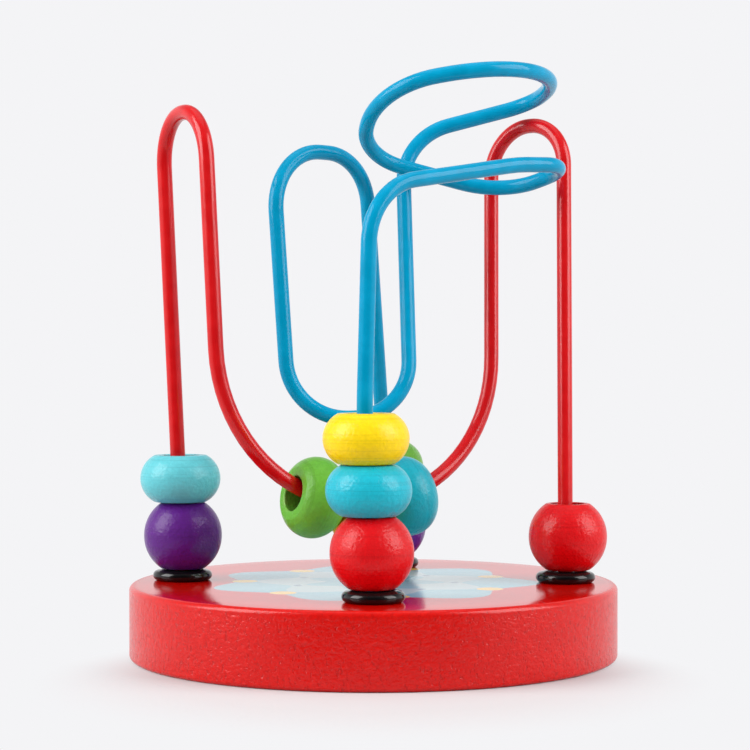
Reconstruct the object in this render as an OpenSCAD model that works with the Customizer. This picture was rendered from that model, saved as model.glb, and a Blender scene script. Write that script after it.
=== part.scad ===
// Bead maze: a round painted base holds two bent wires in four collars,
// and eleven loose beads ride on the wires.
// Millimetres, +Z up. The origin is the middle of the base's underside,
// -Y is the front and +X the right.

/* [Base] */
// Diameter of the base
base_d = 90; // [84:1:100]
// Thickness of the base
base_t = 13.5; // [11:0.5:20]
// Rounding of the base's top edge
base_top_r = 1; // [0.5:0.1:3]
// Rounding of the base's bottom edge
base_bottom_r = 0.8; // [0.3:0.1:2]
// Wood left under each drilled hole
hole_floor = 4; // [2:0.5:6]
// Distance from the rim to the middle of the left hole
left_hole_inset = 9.1; // [8:0.1:12]
// Distance from the rim to the middle of the right hole
right_hole_inset = 9.4; // [8:0.1:12]
// Distance from the rim to the middle of the front hole
front_hole_inset = 13.5; // [10:0.5:18]
// Distance from the rim to the middle of the back hole
back_hole_inset = 17; // [10:0.5:18]

/* [Collars] */
// Diameter of a collar's flange
collar_d = 11; // [10:0.5:13]
// Height of a collar's flange
flange_h = 1.9; // [1:0.1:2]
// Diameter of a collar's top
neck_d = 8; // [7:0.1:9]
// Height of a collar above the base
collar_h = 2.1; // [2:0.1:4]
// Diameter of the spigot below the flange
spigot_d = 6; // [5:0.1:7]

/* [Beads] */
// Diameter of a round bead
round_d = 14.5; // [12:0.1:16]
// Height of a round bead
round_h = 12.3; // [11:0.1:13]
// Diameter of a round bead's flat ends
round_end_d = 8; // [7.4:0.1:9]
// Diameter of a flat bead
flat_d = 14.9; // [12:0.1:16]
// Height of a flat bead
flat_h = 8.7; // [7:0.1:10]
// Diameter of a flat bead's flat ends
flat_end_d = 9.6; // [8:0.1:10]
// Play between a bead's bore and the wire, on each side
bead_play = 1.8; // [1.2:0.1:2]
// Chamfer at each end of a bead's bore
bead_lip = 0.3; // [0.1:0.05:0.4]

/* [Wires] */
// Diameter of both wires
wire_d = 2.8; // [2:0.1:3.2]
// Radius of the bend where each leg leaves its collar
foot_r = 20; // [10:1:30]

/* [Red wire] */
// Height of the left hairpin's top above the base
left_hairpin_h = 86; // [76:0.5:96]
// Height of the right hairpin's top above the base
right_hairpin_h = 86; // [76:0.5:96]
// Height of the wide U's lowest point above the base
red_u_h = 15.2; // [14:0.1:24]

/* [Blue wire] */
// Height above the base where the front leg leans the other way
front_kink_h = 33; // [30:0.5:45]
// Radius of the front leg's slight bend there
front_kink_r = 60; // [30:1:90]
// Height of the front leg's top above the base
front_top_h = 71; // [66:0.5:74]
// Height above the base where the lower loop's front strand turns level
low_front_h = 76.3; // [74:0.1:79]
// Height of the lower loop's right end above the base
low_end_h = 77; // [75:0.1:80]
// Height of the lower loop's back strand above the base
low_loop_h = 72.5; // [70:0.5:76]
// Height of the upper loop above the base
high_loop_h = 90; // [88:0.5:96]
// Rise from one side of a loop to the other
loop_rise = 6.7; // [5:0.1:9]
// Height of the narrow U's lowest point above the base
blue_u_h = 30.6; // [29:0.1:38]
// Height of the arch's top above the base
arch_h = 79.8; // [72:0.1:84]

/* [Hidden] */
$fn = 64;

// Play of a collar in its hole and of a wire in its collar, across the diameter
fit_play = 0.02;
// Room under a spigot, and under a wire's end
hole_relief = 0.5;
// Height above the collar where a leg starts to lean
foot_rise = 1.4;
// Gap between two beads, or between a bead and its collar
bead_gap = 0.15;
// Gap between a hanging bead's bore and the wire that it hangs on
hang_gap = 0.25;
// Straight wire left between two bends that meet
bend_run = 0.6;
// Straight wire is this much slimmer than a bend, on each side, and reaches this far into it
run_inset = 0.01;
run_lap = 0.2;

// The four holes, seen from above
function hole(inset, angle) = (base_d / 2 - inset) * [cos(angle), sin(angle)];
left_hole = hole(left_hole_inset, 174);
right_hole = hole(right_hole_inset, 0);
front_hole = hole(front_hole_inset, -90);
back_hole = hole(back_hole_inset, 83);
hole_depth = base_t - hole_floor;
spigot_h = hole_depth - hole_relief;
collar_top = base_t + collar_h;
foot_z = collar_top + foot_rise;
wire_end_z = base_t - spigot_h + hole_relief;

// A point seen from above, which moves outward as the base grows
function plan(x, y) = [x, y] * base_d / 90;

// A route is a list of corners, each a point and the radius of the bend there
function corner(at, height, radius) = [[at.x, at.y, base_t + height], radius];
function end_corners(at) = [[[at.x, at.y, wire_end_z], 0], [[at.x, at.y, foot_z], foot_r]];
function reversed(list) = [for (k = [len(list) - 1:-1:0]) list[k]];
// Two corners that make one U, with bends of half its width
function u_turn(from, to, height) =
    let (radius = norm(to - from) / 2)
    [corner(from, height, radius), corner(to, height, radius)];

red_route = concat(
    end_corners(left_hole),
    u_turn(left_hole + [-3.4, -3.5], plan(-30, -16.5), left_hairpin_h),
    u_turn(plan(-26.5, -18.5), plan(22.5, 12), red_u_h),
    u_turn(plan(23, 22.5), right_hole + [0.4, 9.5], right_hairpin_h),
    reversed(end_corners(right_hole))
);
blue_route = concat(
    end_corners(front_hole),
    [
        corner(front_hole + [-1.5, 0], front_kink_h, front_kink_r),
        corner(front_hole + [-0.5, 0], front_top_h, 11.5),
        // Lower loop: front strand, right end, then the left end, which climbs to the upper loop
        corner(plan(26, -11.8), low_front_h, 40),
        corner(plan(37.8, -2.5), low_end_h, 7),
        corner(plan(24.5, 9.5), low_loop_h, 14),
        corner(plan(-2.5, 3), low_loop_h + loop_rise, 10),
        corner(plan(0.5, -14), high_loop_h, 15.5),
        // Upper loop: right end, then the bend down into the inner leg
        corner(plan(41, -18), high_loop_h + loop_rise, 18),
        corner(plan(30, 14), high_loop_h, 6.5),
        corner(plan(5.5, 11), high_loop_h - loop_rise, 12),
    ],
    u_turn(plan(6.8, -5), plan(-15.2, -8), blue_u_h),
    u_turn(plan(-18.5, -5.5), plan(-1.7, 10), arch_h),
    reversed(end_corners(back_hole))
);

// Bends: each takes up its setback of the two runs that meet at the corner,
// and two bends share a run that is too short for both
function unit(v) = v / norm(v);
function place(route, k) = route[k][0];
function heading(route, k) = unit(place(route, k + 1) - place(route, k));
function is_end(route, k) = k == 0 || k == len(route) - 1;
function turn(route, k) = acos(heading(route, k - 1) * heading(route, k));
function wanted_setback(route, k) = is_end(route, k) ? 0 : route[k][1] * tan(turn(route, k) / 2);
function run_share(route, k) =
    let (wanted = wanted_setback(route, k) + wanted_setback(route, k + 1))
    let (room = norm(place(route, k + 1) - place(route, k)) - bend_run)
    min(1, room / wanted);
function setback(route, k) =
    is_end(route, k) ? 0 : wanted_setback(route, k) * min(run_share(route, k - 1), run_share(route, k));
function bend_r(route, k) = setback(route, k) / tan(turn(route, k) / 2);

// A frame of three unit axes set at a point
module in_frame(x, y, z, at) {
    multmatrix([[x.x, y.x, z.x, at.x], [x.y, y.y, z.y, at.y], [x.z, y.z, z.z, at.z], [0, 0, 0, 1]])
        children();
}

// Turns +Z to the direction given, at the point given
module along(ahead, at) {
    translate(at) rotate([0, acos(ahead.z), atan2(ahead.y, ahead.x)]) children();
}

module bend(route, k) {
    ahead = heading(route, k - 1);
    angle = turn(route, k);
    inward = (heading(route, k) - ahead * cos(angle)) / sin(angle);
    radius = bend_r(route, k);
    start = place(route, k) - ahead * setback(route, k);
    in_frame(-inward, ahead, cross(-inward, ahead), start + inward * radius)
        rotate_extrude(angle = angle) translate([radius, 0]) circle(d = wire_d);
}

module run(route, k) {
    ahead = heading(route, k);
    start_lap = is_end(route, k) ? 0 : run_lap;
    end_lap = is_end(route, k + 1) ? 0 : run_lap;
    start = place(route, k) + ahead * (setback(route, k) - start_lap);
    end = place(route, k + 1) - ahead * (setback(route, k + 1) - end_lap);
    along(ahead, start) cylinder(d = wire_d - 2 * run_inset, h = norm(end - start));
}

module wire(route) {
    for (k = [1:len(route) - 2]) bend(route, k);
    for (k = [0:len(route) - 2]) run(route, k);
}

module red_wire() {
    color("crimson") wire(red_route);
}

module blue_wire() {
    color("deepskyblue") wire(blue_route);
}

// Half of the base's section, with its two edges rounded
module base_section() {
    half = base_d / 2;
    square([half - base_top_r, base_t]);
    translate([0, base_bottom_r]) square([half, base_t - base_bottom_r - base_top_r]);
    square([half - base_bottom_r, base_t / 2]);
    translate([half - base_top_r, base_t - base_top_r]) circle(base_top_r);
    translate([half - base_bottom_r, base_bottom_r]) circle(base_bottom_r);
}

module base() {
    color("red") difference() {
        rotate_extrude() base_section();
        for (at = [left_hole, right_hole, front_hole, back_hole])
            translate([at.x, at.y, hole_floor]) cylinder(d = spigot_d + fit_play, h = base_t);
    }
}

// Half of a collar's section: spigot, round rim and the slope up to its top, with the wire's bore left out
module collar_section() {
    inner_r = (wire_d + fit_play) / 2;
    rim_r = flange_h / 2;
    rim_x = collar_d / 2 - rim_r;
    translate([inner_r, -spigot_h]) square([spigot_d / 2 - inner_r, spigot_h + rim_r]);
    translate([rim_x, rim_r]) circle(rim_r);
    polygon([[inner_r, 0], [rim_x, 0], [rim_x, flange_h], [neck_d / 2, collar_h], [inner_r, collar_h]]);
}

module collar(at) {
    color("black") translate([at.x, at.y, base_t]) rotate_extrude() collar_section();
}

module left_collar() {
    collar(left_hole);
}

module right_collar() {
    collar(right_hole);
}

module front_collar() {
    collar(front_hole);
}

module back_collar() {
    collar(back_hole);
}

// The two kinds of bead: diameter, height and the diameter of the flat ends
round_bead = [round_d, round_h, round_end_d];
flat_bead = [flat_d, flat_h, flat_end_d];
bore_r = wire_d / 2 + bead_play;

// Half of a bead's section: a flat bead's side is one arc from end to end,
// a round bead is a ball with a narrow straight band round it, and the bore has a chamfer at each end
module bead_section(kind) {
    half_d = kind[0] / 2;
    half_h = kind[1] / 2;
    end_r = kind[2] / 2;
    arc_x = (half_d * half_d - end_r * end_r - half_h * half_h) / (2 * (half_d - end_r));
    band = half_h - sqrt(half_d * half_d - end_r * end_r);
    difference() {
        intersection() {
            if (arc_x > 0) {
                translate([arc_x, 0]) circle(half_d - arc_x);
            } else {
                for (side = [-1, 1]) translate([0, side * band]) circle(half_d);
                translate([0, -band]) square([half_d, 2 * band]);
            }
            translate([bore_r, -half_h]) square([half_d, 2 * half_h]);
        }
        for (side = [-1, 1])
            translate([bore_r, side * half_h]) rotate(45) square(bead_lip * sqrt(2), center = true);
    }
}

module bead(kind, ahead, at) {
    along(ahead, at) rotate_extrude() bead_section(kind);
}

// Beads stacked on a leg: the lowest rests on the collar, and they lie level however the leg leans,
// apart from the back leg's upper bead, which leans with it
up = [0, 0, 1];
function leg_heading(route) = heading(route, 1);
function stack_rise(stack, k) =
    k == 0 ? stack[0][1] / 2 : stack_rise(stack, k - 1) + (stack[k - 1][1] + stack[k][1]) / 2 + bead_gap;
// How much higher a bead's middle lies when it leans, with its lower edge on the bead below
function lean_rise(kind, lean) =
    kind[2] / 2 * sqrt(1 - lean.z * lean.z) - kind[1] / 2 * (1 - lean.z);
function stack_place(route, stack, k, aside = 0, raised = 0) =
    let (lean = leg_heading(route))
    let (middle_z = collar_top + bead_gap + stack_rise(stack, k) + raised)
    place(route, 1) + lean * (middle_z - foot_z) / lean.z + [aside, 0, 0];

// Places one bead of a stack, which may lie a little to the right of its leg
module stacked_bead(route, stack, k, aside = 0) {
    bead(stack[k], up, stack_place(route, stack, k, aside));
}

// Places one bead of a stack so that it leans with its leg
module leaning_bead(route, stack, k) {
    lean = leg_heading(route);
    bead(stack[k], lean, stack_place(route, stack, k, raised = lean_rise(stack[k], lean)));
}

left_stack = [round_bead, flat_bead];
right_stack = [round_bead];
front_stack = [round_bead, flat_bead, flat_bead];
back_stack = [round_bead, flat_bead];
left_aside = 0.3;
right_aside = 0.45;

module left_purple_bead() {
    color("indigo") stacked_bead(red_route, left_stack, 0, left_aside);
}

module left_turquoise_bead() {
    color("mediumturquoise") stacked_bead(red_route, left_stack, 1, left_aside);
}

module right_red_bead() {
    color("red") stacked_bead(reversed(red_route), right_stack, 0, right_aside);
}

module front_red_bead() {
    color("red") stacked_bead(blue_route, front_stack, 0);
}

module front_cyan_bead() {
    color("darkturquoise") stacked_bead(blue_route, front_stack, 1);
}

module front_yellow_bead() {
    color("gold") stacked_bead(blue_route, front_stack, 2);
}

module back_purple_bead() {
    color("indigo") stacked_bead(reversed(blue_route), back_stack, 0);
}

module back_green_bead() {
    color("yellowgreen") leaning_bead(reversed(blue_route), back_stack, 1);
}

// Beads in the wide U hang on the wire: the yellow one level near the lowest point, and the green
// and the cyan one beside it, less steep than the wire and turned a little aside
u_corner = 4;
u_heading = heading(red_route, u_corner);
u_radius = (bend_r(red_route, u_corner) + bend_r(red_route, u_corner + 1)) / 2;
u_middle = (place(red_route, u_corner) + place(red_route, u_corner + 1)) / 2 + u_radius * up;
yellow_angle = -1;
beside_tilt = 12;
green_turn = -2;
cyan_turn = -8;
beside_run = flat_h / 2 * (1 + cos(beside_tilt)) + flat_end_d / 2 * sin(beside_tilt);
beside_angle = asin(beside_run / u_radius);
function level_heading(turn) =
    [u_heading.x * cos(turn) - u_heading.y * sin(turn), u_heading.x * sin(turn) + u_heading.y * cos(turn), 0];
// How far a bead's middle hangs below the wire's, when the wire is this much steeper than the bead
function hang_drop(steeper) =
    bead_play - hang_gap - flat_h * flat_h / (8 * u_radius) - flat_h / 3 * tan(abs(steeper));

module hanging_bead(angle, tilt, turn) {
    ahead = level_heading(turn) * cos(tilt) + up * sin(tilt);
    outward = u_heading * sin(angle) - up * cos(angle);
    bead(flat_bead, ahead, u_middle + outward * (u_radius + hang_drop(angle - tilt)));
}

module valley_green_bead() {
    color("yellowgreen") hanging_bead(yellow_angle - beside_angle, -beside_tilt, green_turn);
}

module valley_yellow_bead() {
    color("gold") hanging_bead(yellow_angle, 0, 0);
}

module valley_cyan_bead() {
    color("darkturquoise") hanging_bead(yellow_angle + beside_angle, beside_tilt, cyan_turn);
}

base();
left_collar();
right_collar();
front_collar();
back_collar();
red_wire();
blue_wire();
left_purple_bead();
left_turquoise_bead();
right_red_bead();
valley_green_bead();
valley_yellow_bead();
valley_cyan_bead();
front_red_bead();
front_cyan_bead();
front_yellow_bead();
back_purple_bead();
back_green_bead();
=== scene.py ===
"""Looks of a bead maze: lacquered base, black collars, two coated wires and eleven turned beads.

Lengths are in millimetres in the part's own frame, and scaled to metres where Blender takes them.
"""

import math

import bpy
from mathutils import Matrix, Vector


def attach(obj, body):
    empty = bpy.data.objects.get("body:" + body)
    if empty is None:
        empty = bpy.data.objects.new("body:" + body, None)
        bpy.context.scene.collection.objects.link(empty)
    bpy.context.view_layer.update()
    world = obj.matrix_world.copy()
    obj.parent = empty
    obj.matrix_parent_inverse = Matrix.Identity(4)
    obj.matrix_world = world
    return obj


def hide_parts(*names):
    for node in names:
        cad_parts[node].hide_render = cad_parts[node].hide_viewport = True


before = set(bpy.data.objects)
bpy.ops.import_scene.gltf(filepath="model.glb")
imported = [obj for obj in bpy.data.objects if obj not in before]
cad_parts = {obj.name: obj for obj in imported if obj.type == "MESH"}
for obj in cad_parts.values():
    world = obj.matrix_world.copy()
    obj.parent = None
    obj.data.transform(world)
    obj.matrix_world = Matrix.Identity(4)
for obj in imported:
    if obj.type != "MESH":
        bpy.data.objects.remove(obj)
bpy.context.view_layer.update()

MM = 0.001
UP = Vector((0, 0, 1))

# Base, and rings that keep the shading of its flat faces and wall even
BASE_R = 45.0
BASE_T = 13.5
TOP_EDGE_R = 1.0
BOTTOM_EDGE_R = 0.8
HOLE_FLOOR = 4.0
HOLE_RELIEF = 0.5
FACE_RINGS = (10.0, 20.0, 30.0, 40.0)
WALL_RINGS = (3.5, 6.0, 8.5)

# Collars
COLLAR_R = 5.5
FLANGE_H = 1.9
NECK_R = 4.0
COLLAR_H = 2.1
COLLAR_ROUND_R = 0.2
SPIGOT_R = 3.0
SPIGOT_H = BASE_T - HOLE_FLOOR - HOLE_RELIEF
FLANGE_STEP = 0.4
FLANGE_DROP = 0.02

# Wires
WIRE_R = 1.4
WIRE_PLAY = 0.01
FOOT_R = 20.0
FOOT_RISE = 1.4
FOOT_Z = BASE_T + COLLAR_H + FOOT_RISE
WIRE_END_Z = BASE_T - SPIGOT_H + HOLE_RELIEF
BEND_RUN = 0.6

# Heights of the red wire's turns above the base
LEFT_HAIRPIN_H = 86.0
RIGHT_HAIRPIN_H = 86.0
RED_U_H = 15.2

# Heights of the blue wire's turns above the base
FRONT_KINK_H = 33.0
FRONT_TOP_H = 71.0
LOW_FRONT_H = 76.3
LOW_END_H = 77.0
LOW_LOOP_H = 72.5
HIGH_LOOP_H = 90.0
LOOP_RISE = 6.7
BLUE_U_H = 30.6
ARCH_H = 79.8

# Beads: diameter, height and diameter of the flat ends
ROUND_BEAD = (14.5, 12.3, 8.0)
FLAT_BEAD = (14.9, 8.7, 9.6)
BEAD_PLAY = 1.8
BORE_R = WIRE_R + BEAD_PLAY
BEAD_GAP = 0.15
HANG_GAP = 0.25
LIP_R = 0.3
SHOULDER_R = 0.5

# Facets round each piece
BASE_FACETS = 192
COLLAR_FACETS = 72
BEAD_FACETS = 96
WIRE_FACETS = 32


def hole(inset, angle_deg):
    """Middle of a hole seen from above, from its distance to the rim and its angle."""
    angle = math.radians(angle_deg)
    reach = BASE_R - inset
    return Vector((reach * math.cos(angle), reach * math.sin(angle)))


HOLES = {
    "left": hole(9.1, 174),
    "right": hole(9.4, 0),
    "front": hole(13.5, -90),
    "back": hole(17, 83),
}


# Routes of the wires: corners, each a point and the radius of the bend there

def corner(at, height, radius):
    return (Vector((at[0], at[1], BASE_T + height)), radius)


def end_corners(at):
    return [(Vector((at[0], at[1], WIRE_END_Z)), 0), (Vector((at[0], at[1], FOOT_Z)), FOOT_R)]


def u_turn(start, end, height):
    """Two corners that make one U, with bends of half its width."""
    radius = (Vector(end) - Vector(start)).length / 2
    return [corner(start, height, radius), corner(end, height, radius)]


def shifted(at, x, y):
    return Vector((at[0] + x, at[1] + y))


RED_ROUTE = (
    end_corners(HOLES["left"])
    + u_turn(shifted(HOLES["left"], -3.4, -3.5), (-30, -16.5), LEFT_HAIRPIN_H)
    + u_turn((-26.5, -18.5), (22.5, 12), RED_U_H)
    + u_turn((23, 22.5), shifted(HOLES["right"], 0.4, 9.5), RIGHT_HAIRPIN_H)
    + end_corners(HOLES["right"])[::-1]
)
WIDE_U_CORNER = 4
BLUE_ROUTE = (
    end_corners(HOLES["front"])
    + [
        corner(shifted(HOLES["front"], -1.5, 0), FRONT_KINK_H, 60),
        corner(shifted(HOLES["front"], -0.5, 0), FRONT_TOP_H, 11.5),
        # Lower loop: front strand, right end, then the left end, which climbs to the upper loop
        corner((26, -11.8), LOW_FRONT_H, 40),
        corner((37.8, -2.5), LOW_END_H, 7),
        corner((24.5, 9.5), LOW_LOOP_H, 14),
        corner((-2.5, 3), LOW_LOOP_H + LOOP_RISE, 10),
        corner((0.5, -14), HIGH_LOOP_H, 15.5),
        # Upper loop: right end, then the bend down into the inner leg
        corner((41, -18), HIGH_LOOP_H + LOOP_RISE, 18),
        corner((30, 14), HIGH_LOOP_H, 6.5),
        corner((5.5, 11), HIGH_LOOP_H - LOOP_RISE, 12),
    ]
    + u_turn((6.8, -5), (-15.2, -8), BLUE_U_H)
    + u_turn((-18.5, -5.5), (-1.7, 10), ARCH_H)
    + end_corners(HOLES["back"])[::-1]
)


class Route:
    """A bent wire's centre line: straight runs joined by round bends."""

    def __init__(self, corners):
        self.places = [place for place, radius in corners]
        self.headings = [
            (after - before).normalized() for before, after in zip(self.places, self.places[1:])
        ]
        wanted = [0.0] * len(corners)
        for k in range(1, len(corners) - 1):
            wanted[k] = corners[k][1] * math.tan(self.turn(k) / 2)
        shares = []
        for k, (before, after) in enumerate(zip(self.places, self.places[1:])):
            room = (after - before).length - BEND_RUN
            shares.append(min(1, room / (wanted[k] + wanted[k + 1])))
        self.setbacks = [0.0] * len(corners)
        for k in range(1, len(corners) - 1):
            self.setbacks[k] = wanted[k] * min(shares[k - 1], shares[k])

    def turn(self, k):
        return self.headings[k - 1].angle(self.headings[k])

    def bend_radius(self, k):
        return self.setbacks[k] / math.tan(self.turn(k) / 2)

    def points(self, bend_step=math.radians(5), run_step=4.0):
        """Points along the centre line, close together in bends."""
        line = [self.places[0]]
        for k in range(1, len(self.places)):
            ahead = self.headings[k - 1]
            run_end = self.places[k] - ahead * self.setbacks[k]
            run_start = line[-1]
            steps = max(1, round((run_end - run_start).length / run_step))
            for step in range(1, steps + 1):
                line.append(run_start.lerp(run_end, step / steps))
            if k == len(self.places) - 1:
                break
            angle = self.turn(k)
            inward = (self.headings[k] - ahead * math.cos(angle)).normalized()
            radius = self.bend_radius(k)
            centre = run_end + inward * radius
            steps = max(2, math.ceil(angle / bend_step))
            for step in range(1, steps + 1):
                t = angle * step / steps
                line.append(centre - inward * radius * math.cos(t) + ahead * radius * math.sin(t))
        return line


red_route = Route(RED_ROUTE)
red_route_back = Route(RED_ROUTE[::-1])
blue_route = Route(BLUE_ROUTE)
blue_route_back = Route(BLUE_ROUTE[::-1])


# Meshes

def new_piece(name, vertices, faces, material):
    mesh = bpy.data.meshes.new(name)
    mesh.from_pydata([Vector(v) * MM for v in vertices], [], faces)
    mesh.validate()
    for polygon in mesh.polygons:
        polygon.use_smooth = True
    mesh.materials.append(material)
    piece = bpy.data.objects.new(name, mesh)
    bpy.context.scene.collection.objects.link(piece)
    return piece


def arc(centre_r, centre_z, radius, start_deg, end_deg, steps):
    """Points of an arc in a lathe profile, both ends included."""
    points = []
    for step in range(steps + 1):
        angle = math.radians(start_deg + (end_deg - start_deg) * step / steps)
        points.append((centre_r + radius * math.cos(angle), centre_z + radius * math.sin(angle)))
    return points


def lathe(name, profile, facets, material, closed):
    """Turns a profile of (radius, height) points about Z. An open profile starts and ends on the axis."""
    vertices = []
    rings = []
    for radius, height in profile:
        if radius == 0:
            rings.append([len(vertices)])
            vertices.append((0, 0, height))
            continue
        ring = []
        for k in range(facets):
            angle = 2 * math.pi * k / facets
            ring.append(len(vertices))
            vertices.append((radius * math.cos(angle), radius * math.sin(angle), height))
        rings.append(ring)
    pairs = list(zip(rings, rings[1:]))
    if closed:
        pairs.append((rings[-1], rings[0]))
    faces = []
    for low, high in pairs:
        for k in range(facets):
            after = (k + 1) % facets
            if len(low) == 1:
                faces.append((low[0], high[after], high[k]))
            elif len(high) == 1:
                faces.append((low[k], low[after], high[0]))
            else:
                faces.append((low[k], low[after], high[after], high[k]))
    return new_piece(name, vertices, faces, material)


def tube(name, line, radius, facets, material):
    """Sweeps a circle along a line of points, with flat ends."""
    headings = []
    for k in range(len(line)):
        before = line[max(k - 1, 0)]
        after = line[min(k + 1, len(line) - 1)]
        headings.append((after - before).normalized())
    side = headings[0].orthogonal().normalized()
    vertices = []
    for k, place in enumerate(line):
        if k:
            side = headings[k - 1].rotation_difference(headings[k]) @ side
        side = (side - headings[k] * side.dot(headings[k])).normalized()
        other = headings[k].cross(side)
        for s in range(facets):
            angle = 2 * math.pi * s / facets
            vertices.append(place + (side * math.cos(angle) + other * math.sin(angle)) * radius)
    faces = []
    for k in range(len(line) - 1):
        for s in range(facets):
            after = (s + 1) % facets
            low = k * facets
            high = low + facets
            faces.append((low + s, low + after, high + after, high + s))
    faces.append(tuple(range(facets))[::-1])
    last = (len(line) - 1) * facets
    faces.append(tuple(range(last, last + facets)))
    return new_piece(name, vertices, faces, material)


def bead_profile(kind):
    """Outline of a bead: round side, rounded shoulders, flat ends and a rounded bore lip.

    A flat bead's side is one arc; a round bead's is a ball's, with a narrow straight band round it.
    """
    half_d, half_h, end_r = (size / 2 for size in kind)
    arc_x = max(0, (half_d ** 2 - end_r ** 2 - half_h ** 2) / (2 * (half_d - end_r)))
    side_r = half_d - arc_x
    band = half_h - math.sqrt(side_r ** 2 - (end_r - arc_x) ** 2)
    has_band = band > 0.01
    centre_z = half_h - SHOULDER_R
    centre_x = arc_x + math.sqrt((side_r - SHOULDER_R) ** 2 - (centre_z - band) ** 2)
    meet = math.degrees(math.atan2(centre_z - band, centre_x - arc_x))
    lip_x = BORE_R + LIP_R
    lip_z = half_h - LIP_R
    outline = arc(arc_x, -band, side_r, -meet, 0, 20)
    outline += arc(arc_x, band, side_r, 0, meet, 20)[0 if has_band else 1:]
    outline += arc(centre_x, centre_z, SHOULDER_R, meet, 90, 6)[1:]
    outline += arc(lip_x, lip_z, LIP_R, 90, 180, 6)
    outline += arc(lip_x, -lip_z, LIP_R, 180, 270, 6)
    outline += arc(centre_x, -centre_z, SHOULDER_R, -90, -meet, 6)[:-1]
    return outline


def turned_to(heading, at):
    """Matrix that turns +Z to a heading, at a place in millimetres."""
    turn = UP.rotation_difference(heading).to_matrix().to_4x4()
    return Matrix.Translation(Vector(at) * MM) @ turn


# Materials

class Graph:
    """The nodes of a material or a world. Inputs are sockets, numbers or tuples."""

    def __init__(self, owner):
        owner.use_nodes = True
        self.owner = owner
        self.tree = owner.node_tree
        self.coordinates = self.add("ShaderNodeTexCoord").outputs
        self.place = self.coordinates["Object"]

    def add(self, kind, **settings):
        node = self.tree.nodes.new(kind)
        for key, value in settings.items():
            setattr(node, key, value)
        return node

    def feed(self, socket, value):
        if isinstance(value, bpy.types.NodeSocket):
            self.tree.links.new(value, socket)
        else:
            socket.default_value = value

    def calc(self, operation, a, b=0.0):
        node = self.add("ShaderNodeMath", operation=operation)
        self.feed(node.inputs[0], a)
        self.feed(node.inputs[1], b)
        return node.outputs[0]

    def split(self, vector):
        node = self.add("ShaderNodeSeparateXYZ")
        self.feed(node.inputs[0], vector)
        return node.outputs

    def length(self, a, b):
        return self.calc("SQRT", self.calc("ADD", self.calc("POWER", a, 2.0), self.calc("POWER", b, 2.0)))

    def step(self, value, low, high):
        """Smooth step from 0 at low to 1 at high."""
        node = self.add("ShaderNodeMapRange", interpolation_type="SMOOTHSTEP")
        self.feed(node.inputs["Value"], value)
        node.inputs["From Min"].default_value = low
        node.inputs["From Max"].default_value = high
        return node.outputs["Result"]

    def scale(self, value, low, high, to_low, to_high):
        node = self.add("ShaderNodeMapRange")
        self.feed(node.inputs["Value"], value)
        node.inputs["From Min"].default_value = low
        node.inputs["From Max"].default_value = high
        node.inputs["To Min"].default_value = to_low
        node.inputs["To Max"].default_value = to_high
        return node.outputs["Result"]

    def mix(self, factor, a, b):
        node = self.add("ShaderNodeMix", data_type="RGBA")
        self.feed(node.inputs["Factor"], factor)
        self.feed(node.inputs["A"], a)
        self.feed(node.inputs["B"], b)
        return node.outputs["Result"]

    def any_ray(self, *kinds):
        """1 for a ray of any kind named, else 0."""
        rays = self.add("ShaderNodeLightPath").outputs
        found = rays[kinds[0]]
        for kind in kinds[1:]:
            found = self.calc("MAXIMUM", found, rays[kind])
        return found

    def noise(self, size_mm, detail, shift):
        """Noise whose features have the size given along X, Y and Z."""
        mapping = self.add("ShaderNodeMapping")
        self.feed(mapping.inputs["Vector"], self.place)
        mapping.inputs["Scale"].default_value = [1 / (size * MM) for size in size_mm]
        mapping.inputs["Location"].default_value = (shift, shift * 0.7, shift * 1.3)
        node = self.add("ShaderNodeTexNoise")
        self.feed(node.inputs["Vector"], mapping.outputs["Vector"])
        node.inputs["Scale"].default_value = 1.0
        node.inputs["Detail"].default_value = detail
        return node.outputs["Fac"]

    def bump(self, height, depth_mm, strength, under=None):
        node = self.add("ShaderNodeBump")
        node.inputs["Distance"].default_value = depth_mm * MM
        self.feed(node.inputs["Strength"], strength)
        self.feed(node.inputs["Height"], height)
        if under is not None:
            self.feed(node.inputs["Normal"], under)
        return node.outputs["Normal"]

    def finish(self, colour, roughness, normal, gloss):
        shader = self.tree.nodes["Principled BSDF"]
        self.feed(shader.inputs["Base Color"], colour)
        self.feed(shader.inputs["Specular IOR Level"], gloss)
        self.feed(shader.inputs["Roughness"], roughness)
        self.feed(shader.inputs["Normal"], normal)
        return self.owner


def material_graph(name):
    return Graph(bpy.data.materials.new(name))


def shade(colour, factor):
    """The colour made lighter or darker, and opaque."""
    return tuple(min(1, c * factor) for c in colour) + (1,)


BARE_WOOD = (0.62, 0.47, 0.31, 1)
BEAD_GLOSS = 0.3


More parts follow.
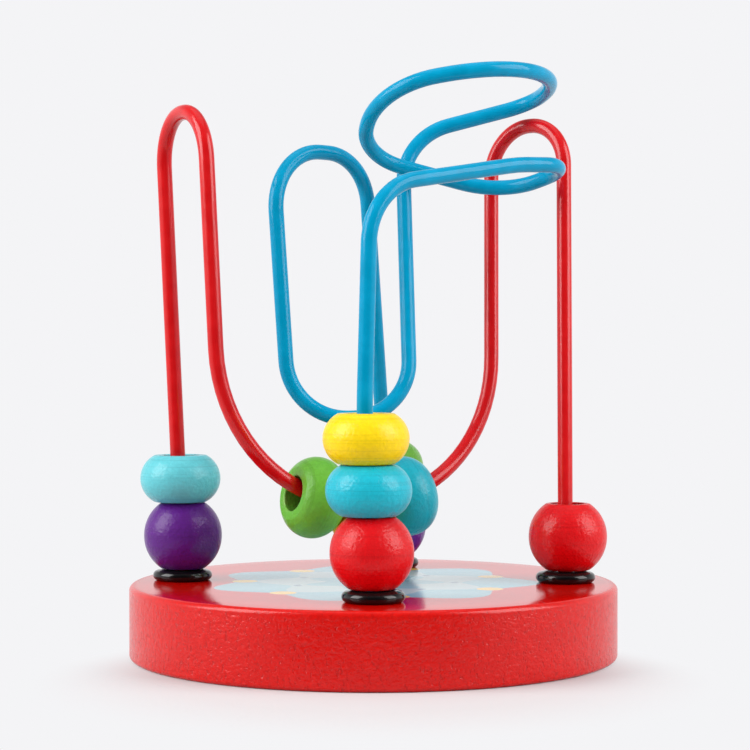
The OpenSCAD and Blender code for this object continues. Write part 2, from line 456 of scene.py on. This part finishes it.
def bead_paint(name, colour, kind, seed):
    """Satin-gloss paint on turned wood: grain, orange peel, turning marks, lips a little worn, and
    painted shade in the bore.
    """
    g = material_graph(name)
    half_h = kind[1] / 2
    x, y, z = g.split(g.place)
    height = g.calc("ABSOLUTE", z)
    across = g.length(x, y)
    grain = g.noise((0.45, 0.45, 5.0), 3.0, seed)
    patches = g.noise((3.5, 3.5, 6.0), 2.0, seed + 11)
    peel = g.noise((0.6, 0.6, 0.6), 2.0, seed + 23)
    rings = g.noise((60, 60, 0.28), 2.0, seed + 31)
    near_bore = g.step(across, (BORE_R + 1.1) * MM, (BORE_R + 0.1) * MM)
    at_end = g.step(height, (half_h - 0.9) * MM, (half_h - 0.2) * MM)
    bore_shade = g.step(across, (BORE_R + 0.06) * MM, (BORE_R + 0.01) * MM)
    worn = g.calc("MULTIPLY", g.calc("MULTIPLY", near_bore, at_end), g.step(patches, 0.42, 0.6))
    tone = g.mix(g.scale(grain, 0.35, 0.65, 0, 1), shade(colour, 0.965), shade(colour, 1.02))
    tone = g.mix(g.scale(patches, 0.3, 0.7, 0, 0.3), tone, shade(colour, 0.88))
    tone = g.mix(g.scale(peel, 0.35, 0.65, 0.36, 0), tone, shade(colour, 0.76))
    tone = g.mix(g.calc("MULTIPLY", g.step(rings, 0.54, 0.68), 0.5), tone, shade(colour, 0.68))
    tone = g.mix(g.calc("MULTIPLY", worn, 0.12), tone, BARE_WOOD)
    # Painted shade: the bore's wall is darkened to stand for shade inside the hole
    tone = g.mix(g.calc("MULTIPLY", bore_shade, 0.45), tone, shade(colour, 0.35))
    normal = g.bump(grain, 0.02, 0.2)
    normal = g.bump(peel, 0.11, 1.0, normal)
    normal = g.bump(rings, 0.04, g.scale(at_end, 0, 1, 0.26, 0.6), normal)
    roughness = g.scale(patches, 0.3, 0.7, 0.26, 0.32)
    return g.finish(tone, roughness, normal, BEAD_GLOSS)


def wire_coat(name, colour, roughness, gloss):
    """Gloss coating on wire, a little uneven."""
    g = material_graph(name)
    waves = g.noise((2.6, 2.6, 2.6), 2.0, 17.0)
    peel = g.noise((0.5, 0.5, 0.5), 1.0, 24.0)
    tone = g.mix(g.scale(waves, 0.3, 0.7, 0, 1), shade(colour, 0.92), shade(colour, 1.05))
    normal = g.bump(waves, 0.03, 0.2)
    normal = g.bump(peel, 0.02, 0.1, normal)
    uneven = g.scale(waves, 0.3, 0.7, roughness - 0.03, roughness + 0.04)
    return g.finish(tone, uneven, normal, gloss)


DEEP_BLACK = (0.004, 0.004, 0.0045, 1)
DUSTY_BLACK = (0.012, 0.012, 0.0125, 1)
COLLAR_GLOSS = 0.4


def collar_plastic(name):
    """Black gloss, dipped, with a slightly wavy skin."""
    g = material_graph(name)
    waves = g.noise((1.6, 1.6, 1.2), 2.0, 3.0)
    dust = g.noise((0.25, 0.25, 0.25), 2.0, 9.0)
    tone = g.mix(g.scale(dust, 0.55, 0.75, 0, 1), DEEP_BLACK, DUSTY_BLACK)
    normal = g.bump(waves, 0.08, 0.35)
    return g.finish(tone, g.scale(dust, 0.3, 0.7, 0.08, 0.13), normal, COLLAR_GLOSS)


# Printed rosette on the base's top
LOBES = 7
ROSETTE_TURN = 0.4
LOBE_BLUR = 0.25
DOT_BLUR = 0.2
PALE_BLUE = (0.20, 0.42, 0.50, 1)
PALER_BLUE = (0.28, 0.48, 0.55, 1)
PALE_GREY = (0.42, 0.52, 0.54, 1)
SLATE = (0.12, 0.24, 0.34, 1)
SUN_YELLOW = (0.80, 0.50, 0.12, 1)


def rosette(g, across, around, broad, ground):
    """Colour of the top: lobed rings of pale blue and grey on the ground, with two rings of dots."""

    def lobed(middle, swing, turn):
        wave = g.calc("COSINE", g.calc("ADD", g.calc("MULTIPLY", around, float(LOBES)), turn))
        edge = g.calc("ADD", g.calc("MULTIPLY", wave, swing * MM), middle * MM)
        return g.step(g.calc("SUBTRACT", across, edge), LOBE_BLUR * MM, -LOBE_BLUR * MM)

    def dots(reach, radius, turn):
        part = 2 * math.pi / LOBES
        turned = g.calc("ADD", around, turn + 4 * math.pi)
        offset = g.calc("SUBTRACT", g.calc("MODULO", turned, part), part / 2)
        along = g.calc("SUBTRACT", g.calc("MULTIPLY", across, g.calc("COSINE", offset)), reach * MM)
        beside = g.calc("MULTIPLY", across, g.calc("SINE", offset))
        away = g.length(along, beside)
        return g.step(away, (radius + DOT_BLUR) * MM, (radius - DOT_BLUR) * MM)

    dot_turn = ROSETTE_TURN / LOBES
    blue = g.mix(g.scale(broad, 0.35, 0.65, 0, 1), PALE_BLUE, PALER_BLUE)
    top = g.mix(lobed(middle=28, swing=2.8, turn=ROSETTE_TURN), ground, blue)
    top = g.mix(lobed(middle=19, swing=2.6, turn=ROSETTE_TURN + math.pi), top, PALE_GREY)
    top = g.mix(lobed(middle=11, swing=2.2, turn=ROSETTE_TURN), top, blue)
    top = g.mix(dots(reach=24, radius=2.4, turn=dot_turn), top, SUN_YELLOW)
    return g.mix(dots(reach=15, radius=0.8, turn=dot_turn + math.pi / LOBES), top, SLATE)


BASE_RED = (0.62, 0.003, 0.001)
# Light red of the flecks that stand for painted glints on the orange peel
PAINTED_GLINT_RED = (0.95, 0.03, 0.02, 1)
TOP_ROUGHNESS = 0.11
BASE_GLOSS = 0.35


def base_lacquer(name):
    """Red lacquer over wood, pitted on the side, with light flecks as painted glints, painted shade in
    the pits, and a print on the top under the gloss.
    """
    g = material_graph(name)
    x, y, z = g.split(g.place)
    across = g.length(x, y)
    around = g.calc("ARCTAN2", y, x)
    within_rim = g.step(across, (BASE_R - 0.5) * MM, (BASE_R - 1.9) * MM)
    on_top = g.calc("MULTIPLY", within_rim, g.step(z, (BASE_T - 0.8) * MM, (BASE_T - 0.2) * MM))
    below_edge = g.step(z, (BASE_T - 0.3) * MM, (BASE_T - 1.8) * MM)
    grain = g.noise((1.1, 1.1, 0.7), 3.0, 5.0)
    peel = g.noise((0.42, 0.42, 0.42), 2.0, 13.0)
    pores = g.noise((0.5, 0.5, 0.9), 2.0, 21.0)
    broad = g.noise((14, 14, 9), 2.0, 29.0)
    red = g.mix(g.scale(broad, 0.3, 0.7, 0, 1), shade(BASE_RED, 0.92), shade(BASE_RED, 1.05))
    red = g.mix(g.scale(peel, 0.38, 0.62, 0, 1), shade(BASE_RED, 0.88), red)
    # Painted glints: light flecks stand for glints on the orange peel
    red = g.mix(g.calc("MULTIPLY", g.step(grain, 0.54, 0.68), 0.12), red, PAINTED_GLINT_RED)
    # Painted shade: the pits are darkened to stand for shade in them
    red = g.mix(g.calc("MULTIPLY", g.step(pores, 0.57, 0.69), 0.45), red, shade(BASE_RED, 0.55))
    tone = g.mix(on_top, red, rosette(g, across, around, broad, red))
    side_roughness = g.scale(broad, 0.3, 0.7, 0.18, 0.24)
    roughness = g.calc("ADD", g.calc("MULTIPLY", g.calc("SUBTRACT", 1.0, on_top), side_roughness),
                       g.calc("MULTIPLY", on_top, TOP_ROUGHNESS))
    side_bump = g.scale(below_edge, 0, 1, 0.05, 0.8)
    normal = g.bump(grain, 0.19, side_bump)
    normal = g.bump(peel, 0.09, side_bump, normal)
    normal = g.bump(g.step(pores, 0.7, 0.58), 0.06, side_bump, normal)
    return g.finish(tone, roughness, normal, BASE_GLOSS)


# Base

base_outline = [(0, 0)]
base_outline += [(r, 0) for r in FACE_RINGS]
base_outline += arc(BASE_R - BOTTOM_EDGE_R, BOTTOM_EDGE_R, BOTTOM_EDGE_R, -90, 0, 8)
base_outline += [(BASE_R, z) for z in WALL_RINGS]
base_outline += arc(BASE_R - TOP_EDGE_R, BASE_T - TOP_EDGE_R, TOP_EDGE_R, 0, 90, 12)
base_outline += [(r, BASE_T) for r in FACE_RINGS[::-1]]
base_outline += [(0, BASE_T)]
base = lathe("base_lacquered", base_outline, BASE_FACETS, base_lacquer("red_lacquer"), closed=False)
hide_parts("base")
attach(base, "frame")

# Collars: spigot, rounded flange, rounded top and bore

collar_black = collar_plastic("black_gloss")
collar_bore_r = WIRE_R + WIRE_PLAY
rim_r = FLANGE_H / 2
round_z = COLLAR_H - COLLAR_ROUND_R
collar_outline = [
    (collar_bore_r, -SPIGOT_H),
    (SPIGOT_R, -SPIGOT_H),
    (SPIGOT_R, -FLANGE_DROP),
    (SPIGOT_R + FLANGE_STEP, 0),
]
collar_outline += arc(COLLAR_R - rim_r, rim_r, rim_r, -90, 70, 18)
collar_outline += arc(NECK_R - COLLAR_ROUND_R, round_z, COLLAR_ROUND_R, 30, 90, 4)
collar_outline += arc(collar_bore_r + COLLAR_ROUND_R, round_z, COLLAR_ROUND_R, 90, 180, 4)
for side in HOLES:
    collar = lathe(side + "_collar_moulded", collar_outline, COLLAR_FACETS, collar_black, closed=True)
    collar.matrix_world = Matrix.Translation((HOLES[side].to_3d() + UP * BASE_T) * MM)
    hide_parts(side + "_collar")
    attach(collar, "frame")

# Wires: route, colour, roughness and gloss of each coat

for colour_name, route, colour, roughness, gloss in (
    ("red", red_route, (0.58, 0.004, 0.006), 0.18, 0.4),
    ("blue", blue_route, (0.0, 0.285, 0.49), 0.13, 0.17),
):
    coat = wire_coat(colour_name + "_coat", colour, roughness, gloss)
    wire = tube(colour_name + "_wire_coated", route.points(), WIRE_R, WIRE_FACETS, coat)
    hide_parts(colour_name + "_wire")
    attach(wire, "frame")

# Beads: the hanging cyan one is darker than the other, as painted shade for the front stack's shadow on
# it

PAINTS = {
    "purple": (0.10, 0.010, 0.21),
    "turquoise": (0.115, 0.535, 0.595),
    "red": (0.67, 0.001, 0.004),
    "green": (0.13, 0.41, 0.035),
    "yellow": (0.93, 0.65, 0.0),
    "cyan": (0.008, 0.46, 0.58),
}
# Painted shade: the hanging cyan bead's paint is darkened to stand for the front stack's shadow
PAINTED_SHADE_FACTORS = {"valley_cyan_bead": 0.78}
SEED_STEP = 5.3


def place_bead(side, colour_name, kind, heading, at, seed):
    name = side + "_" + colour_name + "_bead"
    colour = [c * PAINTED_SHADE_FACTORS.get(name, 1) for c in PAINTS[colour_name]]
    paint = bead_paint(name + "_paint", colour, kind, seed)
    bead = lathe(name + "_turned", bead_profile(kind), BEAD_FACETS, paint, closed=True)
    bead.matrix_world = turned_to(heading, at)
    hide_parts(name)
    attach(bead, side + "_" + colour_name)


# Stacked beads, lowest first, pushed aside in their play. The leaning one rests on its lower edge

LEFT_ASIDE = 0.3
RIGHT_ASIDE = 0.45
STACKS = (
    ("left", red_route, LEFT_ASIDE, (("purple", ROUND_BEAD), ("turquoise", FLAT_BEAD))),
    ("right", red_route_back, RIGHT_ASIDE, (("red", ROUND_BEAD),)),
    ("front", blue_route, 0, (("red", ROUND_BEAD), ("cyan", FLAT_BEAD), ("yellow", FLAT_BEAD))),
    ("back", blue_route_back, 0, (("purple", ROUND_BEAD), ("green", FLAT_BEAD))),
)
LEANING = ("back", "green")
seed = 1.0
for side, route, aside, stack in STACKS:
    lean = route.headings[1]
    rest_z = BASE_T + COLLAR_H + BEAD_GAP
    for colour_name, kind in stack:
        heading = UP
        middle_z = rest_z + kind[1] / 2
        if (side, colour_name) == LEANING:
            heading = lean
            middle_z += kind[2] / 2 * math.sqrt(1 - lean.z ** 2) - kind[1] / 2 * (1 - lean.z)
        at = route.places[1] + lean * (middle_z - FOOT_Z) / lean.z + Vector((aside, 0, 0))
        place_bead(side, colour_name, kind, heading, at, seed)
        rest_z += kind[1] + BEAD_GAP
        seed += SEED_STEP

# Beads hanging in the wide U: the yellow one level, those beside it less steep than the wire

YELLOW_ANGLE = math.radians(-1)
BESIDE_TILT = math.radians(12)
GREEN_TURN = math.radians(-2)
CYAN_TURN = math.radians(-8)
u_ends = red_route.places[WIDE_U_CORNER], red_route.places[WIDE_U_CORNER + 1]
u_radius = (red_route.bend_radius(WIDE_U_CORNER) + red_route.bend_radius(WIDE_U_CORNER + 1)) / 2
u_heading = red_route.headings[WIDE_U_CORNER]
u_middle = (u_ends[0] + u_ends[1]) / 2 + UP * u_radius
flat_h, flat_end_d = FLAT_BEAD[1:]
beside_run = flat_h / 2 * (1 + math.cos(BESIDE_TILT)) + flat_end_d / 2 * math.sin(BESIDE_TILT)
beside = math.asin(beside_run / u_radius)
for colour_name, angle, tilt, turn in (
    ("green", YELLOW_ANGLE - beside, -BESIDE_TILT, GREEN_TURN),
    ("yellow", YELLOW_ANGLE, 0, 0),
    ("cyan", YELLOW_ANGLE + beside, BESIDE_TILT, CYAN_TURN),
):
    level = Matrix.Rotation(turn, 3, "Z") @ u_heading
    ahead = level * math.cos(tilt) + UP * math.sin(tilt)
    outward = u_heading * math.sin(angle) - UP * math.cos(angle)
    sag = flat_h ** 2 / (8 * u_radius) + flat_h / 3 * math.tan(abs(angle - tilt))
    hang_r = u_radius + BEAD_PLAY - HANG_GAP - sag
    place_bead("valley", colour_name, FLAT_BEAD, ahead, u_middle + outward * hang_r, seed)
    seed += SEED_STEP

# Floor: matt paper that fades into the background round a point in front of the part's middle

BACKGROUND = (0.905, 0.905, 0.922, 1)
FLOOR_COLOUR = (0.575, 0.55, 0.555, 1)
FLOOR_HALF = 2000.0
FLOOR_FRONT = -92.0
FADE_MIDDLE = Vector((0, -30, 0))
FADE_START = 33.0
FADE_END = 60.0


def floor_paper(name):
    g = material_graph(name)
    away = g.add("ShaderNodeVectorMath", operation="DISTANCE")
    g.feed(away.inputs[0], g.place)
    away.inputs[1].default_value = FADE_MIDDLE * MM
    far = g.step(away.outputs["Value"], FADE_START * MM, FADE_END * MM)
    seen = g.any_ray("Is Camera Ray", "Is Glossy Ray", "Is Transmission Ray")
    paper = g.tree.nodes["Principled BSDF"]
    paper.inputs["Base Color"].default_value = FLOOR_COLOUR
    paper.inputs["Roughness"].default_value = 1.0
    paper.inputs["Specular IOR Level"].default_value = 0.0
    glow = g.add("ShaderNodeEmission")
    glow.inputs["Color"].default_value = BACKGROUND
    faded = g.add("ShaderNodeMixShader")
    g.feed(faded.inputs["Fac"], g.calc("MULTIPLY", far, seen))
    g.feed(faded.inputs[1], paper.outputs["BSDF"])
    g.feed(faded.inputs[2], glow.outputs["Emission"])
    g.feed(g.tree.nodes["Material Output"].inputs["Surface"], faded.outputs["Shader"])
    return g.owner


floor_corners = [(x, y, 0) for y in (FLOOR_FRONT, FLOOR_HALF) for x in (-FLOOR_HALF, FLOOR_HALF)]
floor = new_piece("floor", floor_corners, [(0, 1, 3, 2)], floor_paper("pale_floor"))

# World: even light, which gloss sees pale behind and beside, dimmer overhead and dark in front

EVEN_LIGHT = (0.66, 0.66, 0.67, 1)
TENT_DARK = (0.005, 0.005, 0.005, 1)
TENT_PALE = (0.92, 0.92, 0.94, 1)
OVERHEAD_SHARE = 0.3
world = bpy.data.worlds.new("studio")
bpy.context.scene.world = world
g = Graph(world)
x, y, z = g.split(g.coordinates["Generated"])
beside_part = g.step(y, -0.9, -0.35)
dimming = g.scale(g.step(z, 0.25, 0.7), 0, 1, 1.0, OVERHEAD_SHARE)
tent = g.mix(g.calc("MULTIPLY", beside_part, dimming), TENT_DARK, TENT_PALE)
lighting = g.mix(g.any_ray("Is Glossy Ray"), EVEN_LIGHT, tent)
shown = g.mix(g.any_ray("Is Camera Ray", "Is Transmission Ray"), lighting, BACKGROUND)
g.feed(g.tree.nodes["Background"].inputs["Color"], shown)

# Soft boxes, with their power in watts

LAMP_AIM = Vector((0, 0, 40))


def soft_box(name, at, width, height, power):
    light = bpy.data.lights.new(name, "AREA")
    light.shape = "RECTANGLE"
    light.size = width * MM
    light.size_y = height * MM
    light.energy = power
    lamp = bpy.data.objects.new(name, light)
    lamp.location = Vector(at) * MM
    lamp.rotation_euler = (LAMP_AIM - Vector(at)).to_track_quat("-Z", "Y").to_euler()
    bpy.context.scene.collection.objects.link(lamp)


soft_box("left_box", at=(-520, -180, 360), width=420, height=500, power=4.0)
soft_box("right_box", at=(520, -180, 350), width=420, height=500, power=3.2)
soft_box("top_box", at=(0, 100, 800), width=600, height=600, power=0.6)

# Camera: level with the middle of the wires, tipped down a little

PHOTO_SIZE_PX = 750
FOCAL_PX = 2160.0
CAMERA_AT = Vector((0.29, -400.0, 56.9))
TIP_DEG = 0.72
NEAR_LIMIT = 10.0
view = bpy.data.cameras.new("photo_view")
view.sensor_width = 36.0
view.lens = FOCAL_PX / PHOTO_SIZE_PX * view.sensor_width
view.clip_start = NEAR_LIMIT * MM
camera = bpy.data.objects.new("photo_view", view)
camera.location = CAMERA_AT * MM
camera.rotation_euler = (math.radians(90 - TIP_DEG), 0, 0)
bpy.context.scene.collection.objects.link(camera)
bpy.context.scene.camera = camera

bpy.context.scene.view_settings.view_transform = "Standard"
